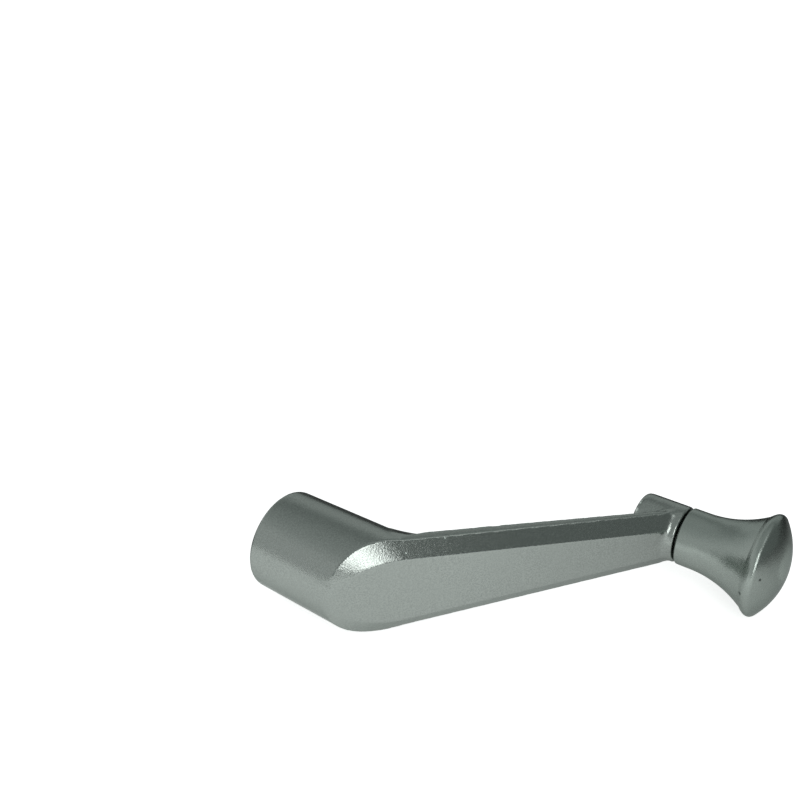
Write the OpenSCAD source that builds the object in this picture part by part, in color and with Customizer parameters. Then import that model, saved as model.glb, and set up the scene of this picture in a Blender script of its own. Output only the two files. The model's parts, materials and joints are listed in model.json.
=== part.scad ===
// Window crank handle, lying on its side.
// The origin is the centre of the stud bore's mouth. +Y points out of the mouth, +X from the hub's axis
// to the knob's axis, and +Z is up.

/* [Hub] */
// Outside diameter of the hub at its mouth
hub_d = 18.5; // [17:0.1:24]
// Draft of the hub's side, in degrees
hub_draft = 0.8; // [0.2:0.1:2]
// Length on the hub's axis, from the mouth to the arm's front face
hub_len = 25.7; // [25:0.1:36]
// Radius of the rounded edge round the mouth
hub_edge_r = 0.5; // [0.3:0.1:2]

/* [Stud socket] */
// Diameter of the plain bore inside the mouth
stud_bore_d = 8.3; // [7:0.05:8.4]
// Length of the plain bore
stud_bore_len = 8; // [7:0.5:9]
// Number of teeth in the splined part of the socket
spline_count = 16; // [12:1:24]
// Gap between the plain bore's wall and the bottom of the spline grooves, on the radius
spline_step = 0.1; // [0.05:0.05:0.3]
// Height of a spline tooth
spline_h = 0.45; // [0.3:0.05:0.7]
// Length of the splined part
spline_len = 9.5; // [6:0.5:11]

/* [Set screw] */
// Diameter of the set screw
set_d = 5; // [4:0.1:5.2]
// Length of the set screw
set_len = 4.9; // [3.5:0.1:4.95]
// Distance from the mouth to the set screw's axis
set_from_mouth = 4; // [3.6:0.1:4.4]
// Depth of the set screw's end below the hub's side
set_recess = 0.15; // [0.1:0.05:0.5]
// Width of the hexagon socket across its corners
set_hex_d = 2.9; // [2:0.1:3.2]
// Depth of the hexagon socket
set_hex_depth = 2.2; // [1:0.1:2.6]
// Diameter of the cup in the set screw's inner end
set_cup_d = 2.6; // [1.5:0.1:3]
// Height of the cup and of the cone round it
set_cup_h = 0.6; // [0.3:0.05:0.8]
// Radial clearance of the set screw in its hole
set_clearance = 0.05; // [0.02:0.01:0.1]

/* [Arm] */
// Throw, from the hub's axis to the knob's axis
throw = 45.7; // [40:0.1:70]
// Distance along the hub's axis from the mouth to the front of the knob's boss
reach = 58; // [52:0.1:75]
// How far short of the knob's axis the arm's front face runs out at the boss
face_run_out = 3.1; // [2:0.1:4]
// Width of the arm where its front face crosses the hub's axis
arm_w = 18.6; // [16:0.1:19]
// Width that the arm tapers to at the knob's axis
arm_end_w = 10.4; // [8.5:0.1:10.6]
// Thickness of the arm
arm_t = 5.2; // [4.4:0.1:7]
// Width of the bevel, across the face
bevel_w = 2.8; // [1.5:0.1:3.2]
// Depth of the bevel
bevel_h = 1.9; // [1:0.1:2]
// Radius of the inner bend between the hub and the back of the arm
bend_r = 12; // [8:0.5:14]

/* [Head of the arm] */
// Distance from the hub's axis back to the centre of the face's round end
head_back = 2.6; // [1.5:0.1:3.2]
// Angle round the head at which the bevel stops, from the arm's length
head_stop = 45; // [40:1:60]
// Slope of the bevel where it stops, in degrees
head_slope = 17; // [12:1:24]
// Number of flats that the bevel is made of as it goes round the head
head_flats = 9; // [5:1:12]

/* [Knob boss] */
// Diameter of the boss
boss_d = 10.8; // [10.8:0.1:13]
// Length of the boss
boss_len = 8.8; // [7:0.1:12]
// Radius of the boss's rounded edges
boss_edge_r = 0.5; // [0.2:0.1:0.8]
// Diameter of the counterbore behind the boss
counterbore_d = 8.4; // [8.2:0.1:9]
// Depth of the counterbore
counterbore_h = 1.8; // [1.6:0.1:2.4]

/* [Knob pin] */
// Diameter of the pin
pin_d = 5; // [4:0.1:5.4]
// Radial clearance of the pin in the boss
pin_clearance = 0.05; // [0.02:0.01:0.1]
// Length of pin that is pressed into the knob
pin_grip = 8; // [5:0.5:10]
// Interference of the pin in the knob, on the radius
press_bite = 0.01; // [0.005:0.005:0.02]
// Diameter of the peened head
peen_d = 7.2; // [6.4:0.1:7.6]
// Height of the peened head
peen_h = 0.95; // [0.6:0.05:1]
// Diameter of the washer
washer_d = 7.8; // [7.4:0.1:8]
// Thickness of the washer
washer_t = 0.5; // [0.3:0.05:0.6]
// Radial clearance of the washer on the pin
washer_clearance = 0.1; // [0.05:0.01:0.2]
// End play between the washer and the counterbore's floor
end_play = 0.1; // [0.05:0.05:0.2]

/* [Knob] */
// Gap between the boss and the knob
knob_gap = 0.4; // [0.2:0.05:0.6]
// Diameter of the knob's neck
neck_d = 10.9; // [9.5:0.1:13]
// Radius of the rounded edge of the neck
neck_edge_r = 0.3; // [0.1:0.1:0.6]
// Length of the straight neck, measured from the boss
neck_len = 3.2; // [2:0.1:5]
// Radius of the knob's hollow flare
flare_r = 19; // [17.5:0.1:26]
// Length from the boss to the end of the flare
flare_len = 14.3; // [12.5:0.1:15.5]
// Length of the raised band between the flare and the rim's edge
band_len = 1.4; // [0.5:0.05:1.6]
// Rise of that band, on the radius
band_rise = 0.55; // [0.2:0.05:1]
// Radius of the rounded rim
rim_edge_r = 0.6; // [0.2:0.05:0.8]
// Height of the domed end above the rim
dome_h = 3.45; // [2:0.05:5]

/* [Hidden] */
$fn = 96;
cast_color = [0.56, 0.59, 0.57];
steel_color = [0.66, 0.67, 0.68];
washer_color = [0.72, 0.72, 0.70];
screw_color = [0.30, 0.30, 0.31];
// A cut runs this far past the face that it starts from
over = 1;
// Size of a block that cuts away all on one side of a plane, longer than twice the arm
far = 240;
// Number of straight steps in a small rounded edge, and in a long curve
edge_steps = 5;
long_steps = 14;

hub_r = hub_d / 2;
stud_bore_r = stud_bore_d / 2;
socket_len = stud_bore_len + spline_len;
boss_r = boss_d / 2;
pin_r = pin_d / 2;
set_r = set_d / 2;

// The face runs from the hub's axis to the run-out, and that sets the arm's angle from the hub's axis
arm_angle = atan2(throw - face_run_out, reach - hub_len);
// Place along the face, from the hub's axis, at which the face passes the knob's axis
arm_len = throw / sin(arm_angle);
arm_taper = atan2((arm_w - arm_end_w) / 2, arm_len);
bevel_slope = atan2(bevel_h, bevel_w);
head_r = half_width(-head_back) - bevel_w;

// Radius of the hub at a distance from its mouth
function hub_r_at(y) = hub_r + y * tan(hub_draft);

// Half the arm's width at a distance along the face
function half_width(s) = arm_w / 2 - s * tan(arm_taper);

// Points of an arc round a centre, with its first and last points
function arc(centre, r, from, to, steps) =
    [for (i = [0:steps]) let (a = from + (to - from) * i / steps) centre + r * [cos(a), sin(a)]];

// Lays what is drawn up the Z axis along the hub's axis, from the mouth inwards
module from_mouth() rotate([90, 0, 0]) children();

// The same along the knob's axis
module from_mouth_at_knob() translate([throw, 0, 0]) from_mouth() children();

// Frame of the arm: X along the face from the hub's axis, Y from the face into the arm, Z up
module on_face() translate([0, -hub_len, 0]) rotate([0, 0, arm_angle - 90]) children();

// A solid of revolution with a rounded edge at its start
module rounded_post(r_start, r_end, len, edge_r) {
    rotate_extrude()
        polygon(concat([[0, 0]], arc([r_start - edge_r, edge_r], edge_r, -90, 0, edge_steps), [[r_end, len], [0, len]]));
}

// The hub, long enough for its whole end to be cut by the face
module hub_post() {
    post_len = hub_len + 2 * hub_r_at(hub_len) / tan(arm_angle);
    from_mouth() rounded_post(hub_r, hub_r_at(post_len), post_len, hub_edge_r);
}

// Block over the sloping plane of a bevel. The plane meets the face at a place given in the face's X and Z,
// and falls away from it in a direction that is given as an angle from the arm's length.
module bevel_block(at, direction, slope) {
    translate([at[0], 0, at[1]])
        rotate([0, -direction, 0])
            rotate([0, 0, slope])
                translate([0, -far, -far / 2])
                    cube([far, far, far]);
}

// The straight bevels along both edges of the face
module straight_bevels() {
    for (side = [-1, 1])
        bevel_block([0, side * (half_width(0) - bevel_w)], side * (90 - arm_taper), bevel_slope);
}

// The bevel round the head, which gets shallower as it goes round and fades into the hub
module head_bevels() {
    for (side = [-1, 1], i = [0:head_flats - 1]) {
        turn = head_stop + (90 - head_stop) * i / head_flats;
        slope = head_slope + (bevel_slope - head_slope) * i / head_flats;
        bevel_block([-head_back - head_r * cos(turn), side * head_r * sin(turn)], side * (180 - turn), slope);
    }
}

// The tapered bar, with bevels along its back edges, ended at the knob's axis and at the boss's front
module arm_bar() {
    intersection() {
        on_face() difference() {
            translate([0, arm_t, 0])
                rotate([90, 0, 0])
                    linear_extrude(height = arm_t)
                        polygon([
                            [0, -half_width(0)],
                            [arm_len + arm_t, -half_width(arm_len + arm_t)],
                            [arm_len + arm_t, half_width(arm_len + arm_t)],
                            [0, half_width(0)]]);
            translate([0, arm_t, 0])
                mirror([0, 1, 0])
                    straight_bevels();
        }
        translate([throw - far, -reach, -far / 2])
            cube([far, far, far]);
    }
}

// Inner bend: a solid that turns from the hub's round section to the arm's flat one
module inner_bend() {
    hub_side = hub_r_at(hub_len);
    back_s = (hub_side - arm_t * cos(arm_angle)) / sin(arm_angle);
    tangent = bend_r * tan(arm_angle / 2);
    corner_y = -hub_len + arm_t * sin(arm_angle) - back_s * cos(arm_angle);
    // The bend starts and ends a little inside the hub and the arm, and is laid through thin slices
    inset = 0.25;
    slice_t = 0.02;
    steps = 4;
    start = [hub_side - inset, hub_side - inset];
    end = [arm_t / 2, half_width(back_s + tangent) - inset];
    module slice(t) {
        size = start + (end - start) * t;
        translate([hub_side + bend_r, corner_y + tangent, 0])
            rotate([0, 0, arm_angle * t])
                translate([-bend_r - inset * (1 - t) - size[0], 0, 0])
                    rotate([90, 0, 0])
                        linear_extrude(height = slice_t, center = true)
                            scale(size)
                                circle(r = 1, $fn = 32);
    }
    for (i = [0:steps - 1])
        hull() {
            slice(i / steps);
            slice((i + 1) / steps);
        }
}

// The boss that the knob's pin turns in, with both edges rounded
module boss_post() {
    front = boss_len - boss_edge_r;
    translate([throw, -reach + boss_len, 0])
        from_mouth()
            rotate_extrude()
                polygon(concat(
                    [[0, 0]],
                    arc([boss_r - boss_edge_r, boss_edge_r], boss_edge_r, -90, 0, edge_steps),
                    arc([boss_r - boss_edge_r, front], boss_edge_r, 0, 90, edge_steps),
                    [[0, boss_len]]));
}

// The blind socket: a plain bore and then straight-sided teeth
module stud_socket() {
    root_r = stud_bore_r - spline_step;
    from_mouth() {
        translate([0, 0, -over])
            cylinder(r = stud_bore_r, h = over + stud_bore_len);
        linear_extrude(height = socket_len)
            polygon([for (i = [0:2 * spline_count - 1])
                let (a = 180 * i / spline_count, r = i % 2 == 0 ? root_r : root_r - spline_h)
                r * [cos(a), sin(a)]]);
    }
}

// Place of the set screw: drawn up the Z axis, it points out of the hub on the side of the arm
module at_set_screw() translate([0, -set_from_mouth, 0]) rotate([0, 90, 0]) children();

module crank_arm() {
    color(cast_color) difference() {
        union() {
            difference() {
                union() {
                    hub_post();
                    arm_bar();
                    inner_bend();
                }
                on_face() {
                    translate([-far / 2, -far, -far / 2])
                        cube([2 * far, far, far]);
                    straight_bevels();
                    head_bevels();
                }
            }
            boss_post();
        }
        stud_socket();
        at_set_screw() cylinder(r = set_r + set_clearance, h = hub_r + 2 * over);
        from_mouth_at_knob() {
            translate([0, 0, reach - boss_len - over])
                cylinder(r = pin_r + pin_clearance, h = boss_len + 2 * over);
            translate([0, 0, reach - boss_len - over])
                cylinder(r = counterbore_d / 2, h = over + counterbore_h);
        }
    }
}

module knob() {
    neck_r = neck_d / 2;
    flare_turn = asin((flare_len - neck_len) / flare_r);
    flare_end_r = neck_r + flare_r * (1 - cos(flare_turn));
    rim_r = flare_end_r + band_rise;
    rim_at = flare_len + band_len;
    // The dome is the cap of a ball that passes through the rim
    dome_r = (rim_r * rim_r + dome_h * dome_h) / (2 * dome_h);
    dome_turn = asin(rim_r / dome_r);
    dome_centre = rim_at + dome_h - dome_r;
    // The rim's rounding touches the dome from inside, and its widest place is the rim's radius
    edge_r = rim_r - rim_edge_r;
    edge_turn = asin(edge_r / (dome_r - rim_edge_r));
    edge_at = dome_centre + (dome_r - rim_edge_r) * cos(edge_turn);
    color(cast_color) from_mouth_at_knob() translate([0, 0, reach]) difference() {
        rotate_extrude()
            polygon(concat(
                [[0, knob_gap]],
                arc([neck_r - neck_edge_r, knob_gap + neck_edge_r], neck_edge_r, -90, 0, edge_steps),
                arc([neck_r + flare_r, neck_len], flare_r, 180, 180 - flare_turn, long_steps),
                arc([edge_r, edge_at], rim_edge_r, 0, 90 - edge_turn, edge_steps),
                arc([0, dome_centre], dome_r, 90 - edge_turn + edge_turn / long_steps, 90, long_steps - 1)));
        translate([0, 0, knob_gap - over])
            cylinder(r = pin_r - press_bite, h = over + pin_grip);
    }
}

module knob_pin() {
    head_at = -boss_len + counterbore_h - end_play - washer_t;
    color(steel_color) from_mouth_at_knob() translate([0, 0, reach]) {
        translate([0, 0, head_at])
            cylinder(r = pin_r, h = knob_gap + pin_grip - head_at);
        // Peened head, a low cone with a flat top
        translate([0, 0, head_at - peen_h])
            cylinder(r1 = pin_r, r2 = peen_d / 2, h = peen_h);
    }
}

module pin_washer() {
    color(washer_color)
        from_mouth_at_knob()
            translate([0, 0, reach - boss_len + counterbore_h - end_play - washer_t])
                difference() {
                    cylinder(d = washer_d, h = washer_t);
                    translate([0, 0, -over])
                        cylinder(r = pin_r + washer_clearance, h = washer_t + 2 * over);
                }
}

module set_screw() {
    outer = hub_r_at(set_from_mouth) - set_recess;
    color(screw_color) at_set_screw() translate([0, 0, outer - set_len]) difference() {
        union() {
            cylinder(r1 = set_cup_d / 2, r2 = set_r, h = set_cup_h);
            translate([0, 0, set_cup_h])
                cylinder(r = set_r, h = set_len - set_cup_h);
        }
        translate([0, 0, set_len - set_hex_depth])
            cylinder(d = set_hex_d, h = set_hex_depth + over, $fn = 6);
        translate([0, 0, -over])
            cylinder(r1 = set_cup_d / 2, r2 = 0, h = over + set_cup_h);
    }
}

crank_arm();
knob();
knob_pin();
pin_washer();
set_screw();
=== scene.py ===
"""A die-cast window crank handle, modelled round its CAD frame and lying on its side on a white table."""

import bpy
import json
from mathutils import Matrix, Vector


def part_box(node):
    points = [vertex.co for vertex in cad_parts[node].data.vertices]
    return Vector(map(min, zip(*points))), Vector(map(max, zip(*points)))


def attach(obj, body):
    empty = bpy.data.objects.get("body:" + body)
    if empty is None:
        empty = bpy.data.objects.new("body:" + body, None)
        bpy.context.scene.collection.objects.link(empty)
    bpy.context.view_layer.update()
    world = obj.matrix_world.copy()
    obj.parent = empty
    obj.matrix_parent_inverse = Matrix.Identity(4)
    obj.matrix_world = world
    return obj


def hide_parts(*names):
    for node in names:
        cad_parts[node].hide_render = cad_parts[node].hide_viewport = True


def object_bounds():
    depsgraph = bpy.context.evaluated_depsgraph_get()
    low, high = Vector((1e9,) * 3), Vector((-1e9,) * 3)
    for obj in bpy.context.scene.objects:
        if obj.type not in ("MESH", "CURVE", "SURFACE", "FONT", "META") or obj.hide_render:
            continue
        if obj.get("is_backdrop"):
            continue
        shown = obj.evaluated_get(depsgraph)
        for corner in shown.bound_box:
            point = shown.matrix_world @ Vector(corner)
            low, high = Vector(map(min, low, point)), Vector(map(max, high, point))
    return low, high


bl_info = {
    "name": "Window Crank Handle",
    "version": (1, 0, 0),
    "blender": (4, 5, 0),
    "location": "View3D > Sidebar > Crank Handle",
    "description": "Models a cast window crank handle with its knob, pin and set screw on a lit table",
    "category": "Object",
}

import json
import math

import bpy
import numpy as np
from bpy.props import FloatProperty, FloatVectorProperty, IntProperty, PointerProperty
from mathutils import Matrix, Vector

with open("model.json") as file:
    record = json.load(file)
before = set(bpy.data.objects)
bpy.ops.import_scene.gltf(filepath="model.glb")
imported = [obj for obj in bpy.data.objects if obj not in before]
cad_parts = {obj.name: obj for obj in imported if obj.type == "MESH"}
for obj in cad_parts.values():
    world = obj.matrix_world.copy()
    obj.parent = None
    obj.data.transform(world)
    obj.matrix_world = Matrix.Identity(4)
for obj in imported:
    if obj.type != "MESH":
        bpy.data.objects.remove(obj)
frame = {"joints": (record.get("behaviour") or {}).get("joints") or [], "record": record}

MM = 0.001
QUARTER = math.radians(90)
# Points closer together than this are made one
WELD = MM / 1000
JOINTS = {joint["name"]: joint for joint in frame["joints"]}
MOUNTS = {mount["name"]: mount for mount in frame["record"]["mounts"]}
KNOB_AXIS = Vector(JOINTS["knob_spin"]["pos_m"])
STUD_BORE = MOUNTS["stud_bore"]["dims"]
# Small marks that the photograph shows. Each has its place in millimetres, its size, and how light it is.
# On the knob: two small dark dots, painted shade of pits, and a large lighter spot on the dome, a painted
# reflection patch
KNOB_PAINTED_SPOTS = (
    ((37.9, -74.75, 2.32), 0.35 * MM, 0.3),
    ((36.77, -72.23, -0.95), 0.45 * MM, 0.4),
    ((45.4, -77.0, 2.0), 4.0 * MM, 1.4),
)
# On the arm: painted glints, lighter specks of painted highlight at the boss's back rim and two on the bevel
ARM_PAINTED_GLINTS = (
    ((43.7, -49.65, 5.0), 0.35 * MM, 2.6),
    ((44.2, -49.6, 5.15), 0.3 * MM, 2.4),
    ((42.3, -49.6, 4.16), 0.5 * MM, 2.0),
    ((8.43, -30.0, 8.3), 0.25 * MM, 2.6),
    ((2.1, -26.5, 7.3), 0.22 * MM, 2.4),
)


def linear(hex_colour):
    """An sRGB hex colour as linear red, green, blue and alpha"""
    parts = [int(hex_colour[i:i + 2], 16) / 255 for i in (1, 3, 5)]
    return [c / 12.92 if c <= 0.04045 else ((c + 0.055) / 1.055) ** 2.4 for c in parts] + [1.0]


def length(name, description, millimetres):
    """A length property whose default is given in millimetres"""
    return FloatProperty(
        name=name, description=description, default=millimetres * MM, min=0, precision=5, unit="LENGTH")


def angle(name, description, degrees):
    """An angle property whose default is given in degrees"""
    return FloatProperty(
        name=name, description=description, default=math.radians(degrees), precision=3, unit="ROTATION")


def number(name, description, value, **limits):
    """A property for a plain number that is never negative"""
    return FloatProperty(name=name, description=description, default=value, min=0, **limits)


def colour(name, description, hex_colour):
    """A colour property whose default is an sRGB hex value"""
    return FloatVectorProperty(
        name=name, description=description, default=linear(hex_colour), size=4, min=0, max=1, subtype="COLOR")


class CastingSizes(bpy.types.PropertyGroup):
    """Sizes of the hub, arm and boss"""
    hub_diameter: length("Hub diameter", "Outside diameter of the hub at its mouth", 18.5)
    hub_draft: angle("Hub draft", "Draft of the hub's side", 0.8)
    hub_length: length("Hub length", "From the mouth to the arm's front face, on the hub's axis", 25.7)
    hub_edge: length("Mouth edge", "Radius of the rounded edge round the mouth", 0.5)
    face_run_out: length("Face run-out", "How far short of the knob's axis the face runs out", 3.1)
    arm_width: length("Arm width", "Width of the arm at the hub's axis", 18.6)
    arm_end_width: length("Arm end width", "Width of the arm at the knob's axis", 10.4)
    arm_thickness: length("Arm thickness", "Thickness of the arm at the hub's axis", 5.65)
    arm_end_thickness: length("Arm end thickness", "Thickness of the arm at the knob's axis", 4.6)
    bevel_width: length("Bevel width", "Width of the bevel across the face", 2.8)
    bevel_depth: length("Bevel depth", "Depth of the bevel", 1.9)
    bend_radius: length("Inner bend radius", "Radius of the bend between the hub and the back of the arm", 19)
    head_start: length("Head start", "From the hub's axis to the start of the face's round end", 1)
    head_length: length("Head length", "Length of the face's round end, half an oval", 11.8)
    head_stop: angle("Head stop", "Angle round the head at which the bevel stops", 54)
    head_slope: angle("Head slope", "Slope of the bevel where it stops", 17)
    head_flats: IntProperty(
        name="Head flats", description="Cuts that make up the bevel round the head, on each side",
        default=26, min=8, max=60)
    boss_diameter: length("Boss diameter", "Diameter of the knob's boss", 10.8)
    boss_length: length("Boss length", "Length of the knob's boss", 8.8)
    boss_edge: length("Boss edge", "Radius of the boss's rounded edges", 0.5)
    boss_blend: length("Boss blend", "Reach of the soft blend round the boss", 1.1)
    crease_blend: length("Crease blend", "Reach of the soft blend between the face and the hub", 2.6)
    counterbore_diameter: length("Counterbore diameter", "Diameter of the recess behind the boss", 8.4)
    counterbore_depth: length("Counterbore depth", "Depth of the recess behind the boss", 1.8)
    pin_hole_diameter: length("Pin hole diameter", "Diameter of the knob pin's hole", 5.1)
    bore_lead_in: length("Bore lead-in", "Width of the chamfer at the socket's mouth", 0.4)
    spline_count: IntProperty(
        name="Spline count", description="Teeth in the splined part of the socket",
        default=16, min=12, max=24)
    spline_step: length("Spline step", "From the plain bore's wall down to the bottom of the grooves", 0.1)
    spline_height: length("Spline height", "Height of a spline tooth", 0.45)
    spline_length: length("Spline length", "Length of the splined part of the socket", 9.5)
    screw_hole_diameter: length("Screw hole diameter", "Diameter of the set screw's hole", 5.1)
    grain_size: length("Surface step", "Size of the mesh's squares on the cast surface", 0.25)


class KnobSizes(bpy.types.PropertyGroup):
    """Sizes of the knob that its frame doesn't give"""
    neck_diameter: length("Neck diameter", "Diameter of the knob's neck", 10.9)
    neck_edge: length("Neck edge", "Radius of the rounded edge of the neck", 0.3)
    neck_length: length("Neck length", "Length of the straight neck, measured from the boss", 3.2)
    flare_radius: length("Flare radius", "Radius of the hollow flare", 19)
    flare_length: length("Flare length", "From the boss to the end of the flare", 13.7)
    band_length: length("Band length", "Width of the band between the flare and the rim", 2)
    rim_edge: length("Rim edge", "Radius of the rounded rim", 1)
    bore_diameter: length("Pin bore diameter", "Diameter of the blind hole for the pressed-in pin", 4.98)
    bore_depth: length("Pin bore depth", "Depth of that hole", 8)


class SmallPartSizes(bpy.types.PropertyGroup):
    """Sizes of the pin, the washer and the set screw that their frames don't give"""
    pin_diameter: length("Pin diameter", "Diameter of the knob pin", 5)
    peen_height: length("Peen height", "Height of the pin's peened end", 0.95)
    washer_hole: length("Washer hole", "Diameter of the washer's hole", 5.2)
    washer_edge: length("Washer edge", "Radius of the washer's stamped edge", 0.12)
    thread_pitch: length("Thread pitch", "Pitch of the set screw's thread", 0.8)
    thread_depth: length("Thread depth", "Depth of the set screw's thread", 0.4)
    socket_width: length("Socket width", "Width of the hexagon socket across its flats", 2.5)
    socket_depth: length("Socket depth", "Depth of the hexagon socket", 2.2)
    cup_diameter: length("Cup diameter", "Diameter of the cup at the screw's inner end", 2.6)
    cup_height: length("Cup height", "Height of the cone round the cup", 0.6)


class Finishes(bpy.types.PropertyGroup):
    """Colours and grain of the metals"""
    casting: colour("Casting", "Aluminium lacquer on the arm", "#939995")
    knob: colour("Knob", "Aluminium lacquer on the knob, rubbed smoother by hands", "#949C97")
    bare_zinc: colour("Bare zinc", "Cut zinc inside the socket and the holes", "#A5A8A8")
    steel: colour("Steel", "Bright steel of the pin", "#B9BABA")
    zinc_plate: colour("Zinc plate", "Plated steel of the washer", "#C4C6C4")
    black_oxide: colour("Black oxide", "Blackened steel of the set screw", "#3A3B3D")
    flake_size: length("Flake size", "Size of a flake of the lacquer as it is drawn", 0.26)
    arm_roughness: number("Arm roughness", "Roughness of the lacquer on the arm", 0.2, max=1)
    knob_roughness: number("Knob roughness", "Roughness of the lacquer on the knob", 0.26, max=1)
    arm_contrast: number("Arm contrast", "How much lighter or darker one flake is on the arm", 0.19)
    knob_contrast: number("Knob contrast", "How much lighter or darker one flake is on the knob", 0.1)
    arm_waves: length("Arm waves", "Height of the waves in the arm's cast skin", 0.03)
    knob_waves: length("Knob waves", "Height of the waves in the knob's cast skin", 0.12)


class Studio(bpy.types.PropertyGroup):
    """Table, light and camera"""
    table: colour("Table", "White table", "#F4F4F4")
    overhead: number("Overhead", "Brightness of the room straight above", 0.5)
    room: number("Room", "Brightness of the room on the camera's side", 0.235)
    room_tint: colour("Room tint", "Tint of the darker parts of the room", "#F0FFFB")
    left_wall: number("Left wall", "Brightness of the pale wall to the left and behind", 0.72)
    right_wall: number("Right wall", "Brightness of the wall to the right and behind", 0.64)
    left_wall_top: number("Left wall top", "How high the pale wall reaches, as a sine", 0.76, max=1)
    right_wall_top: number("Right wall top", "How high the other wall reaches, as a sine", 0.56, max=1)
    key_power: number("Key light", "Power of the light near the camera", 0.9, unit="POWER")
    top_power: number("Top light", "Power of the small light high in front", 0.06, unit="POWER")
    key_width: length("Key light width", "Width of the light near the camera", 170)
    key_height: length("Key light height", "Height of the light near the camera", 420)
    key_azimuth: angle("Key light azimuth", "Turn of the key light, from the knob's end", -43)
    key_elevation: angle("Key light elevation", "Height of the key light as an angle", 29)
    top_azimuth: angle("Top light azimuth", "Turn of the top light, from the knob's end", 5)
    top_elevation: angle("Top light elevation", "Height of the top light as an angle", 56)
    top_size: length("Top light size", "Width of the light high in front", 120)
    lamp_distance: length("Lamp distance", "From the handle to both lights", 550)
    table_lift: number("Table lift", "What is added to the table where the camera sees it", 0.68)
    table_mirrored: number("Table mirrored", "What is added to the table where metal mirrors it", 0.56)
    table_right: number("Table right", "Share of the mirrored table left past the knob", 0.1, max=1)
    table_behind: number("Table behind", "Share of it left behind the handle", 0.15, max=1)
    camera_place: FloatVectorProperty(
        name="Camera place", description="Where the camera stands", subtype="XYZ", unit="LENGTH",
        default=(-107.406 * MM, -108.941 * MM, 108.178 * MM))
    camera_azimuth: angle("Camera azimuth", "Turn of the camera, from the knob's end", -52.59)
    camera_elevation: angle("Camera elevation", "Angle at which the camera looks down", 27.65)
    focal_length: FloatProperty(
        name="Focal length", description="Focal length of the camera", default=45, min=10, unit="CAMERA")


def leave_edit_mode():
    """Back to object mode, with nothing selected"""
    if bpy.context.object and bpy.context.object.mode != "OBJECT":
        bpy.ops.object.mode_set(mode="OBJECT")
    bpy.ops.object.select_all(action="DESELECT")


def activate(piece):
    """Selects one piece alone and makes it the active one"""
    leave_edit_mode()
    piece.select_set(True)
    bpy.context.view_layer.objects.active = piece


def edit(piece, mode="VERT"):
    """Opens one piece in edit mode with all of it selected"""
    activate(piece)
    bpy.ops.object.mode_set(mode="EDIT")
    bpy.ops.mesh.select_mode(type=mode)
    bpy.ops.mesh.select_all(action="SELECT")


def fix_place(piece):
    """Puts the piece's place, turn and size into its mesh, so that its object sits at the origin"""
    activate(piece)
    bpy.ops.object.transform_apply(location=True, rotation=True, scale=True)


def points_of(piece):
    """All the vertices of a piece as an array"""
    points = np.empty(len(piece.data.vertices) * 3)
    piece.data.vertices.foreach_get("co", points)
    return points.reshape(-1, 3)


def set_points(piece, points):
    """Writes the vertices of a piece back"""
    piece.data.vertices.foreach_set("co", points.ravel())
    piece.data.update()


def arc(centre, radius, start, end, steps):
    """Points of an arc, each as (distance along the axis, distance from the axis)"""
    angles = [start + (end - start) * i / steps for i in range(steps + 1)]
    return [(centre[0] + radius * math.sin(a), centre[1] + radius * math.cos(a)) for a in angles]


def turned(name, outline, segments=192):
    """A solid turned on a lathe: an outline of (along, radius) points is drawn and spun round the Z axis"""
    leave_edit_mode()
    bpy.ops.mesh.primitive_plane_add(size=MM)
    piece = bpy.context.object
    piece.name = name
    bpy.ops.object.mode_set(mode="EDIT")
    bpy.ops.mesh.select_all(action="SELECT")
    bpy.ops.mesh.merge(type="CENTER")
    at = Vector((0, 0, 0))
    first = Vector((outline[0][1], 0, outline[0][0]))
    bpy.ops.transform.translate(value=first - at)
    at = first
    for along, radius in outline[1:]:
        to = Vector((radius, 0, along))
        bpy.ops.mesh.extrude_region_move(TRANSFORM_OT_translate={"value": to - at})
        at = to
    bpy.ops.mesh.select_all(action="SELECT")
    bpy.ops.mesh.spin(steps=segments, angle=2 * math.pi, center=(0, 0, 0), axis=(0, 0, 1))
    bpy.ops.mesh.select_all(action="SELECT")
    bpy.ops.mesh.remove_doubles(threshold=WELD)
    bpy.ops.mesh.normals_make_consistent(inside=False)
    bpy.ops.object.mode_set(mode="OBJECT")
    return piece


def lay_inwards(piece, start):
    """Lays what was turned up the Z axis along the hub's axis, from a start point away from the mouth"""
    piece.rotation_euler = (QUARTER, 0, 0)
    piece.location = start
    fix_place(piece)


def cut_by_planes(piece, planes):
    """Cuts away what lies beyond each plane, given as a point and an outward normal, and closes the cut"""
    for point, normal in planes:
        edit(piece)
        bpy.ops.mesh.bisect(
            plane_co=point, plane_no=normal, use_fill=True, clear_outer=True, threshold=MM / 10000)
    leave_edit_mode()


def use_modifier(piece, kind, **settings):
    """Adds a modifier with its settings and applies it"""
    activate(piece)
    modifier = piece.modifiers.new(kind.title(), kind)
    for name, value in settings.items():
        setattr(modifier, name, value)
    bpy.ops.object.modifier_apply(modifier=modifier.name)


def cut_out(piece, cutter, material):
    """Cuts a closed solid out of a piece, gives the cut its material, and deletes the cutter"""
    cutter.data.materials.append(material)
    use_modifier(
        piece, "BOOLEAN", object=cutter, operation="DIFFERENCE", solver="EXACT", material_mode="TRANSFER")
    bpy.data.objects.remove(cutter)


def join(pieces, name):
    """Joins closed shells into one object"""
    leave_edit_mode()
    for piece in pieces:
        piece.select_set(True)
    bpy.context.view_layer.objects.active = pieces[0]
    bpy.ops.object.join()
    pieces[0].name = name
    return pieces[0]


def depth_in_box(points, low, high):
    """How deep each point lies inside a box, negative outside it"""
    return np.minimum(points - np.array(low), np.array(high) - points).min(axis=1)


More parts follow.
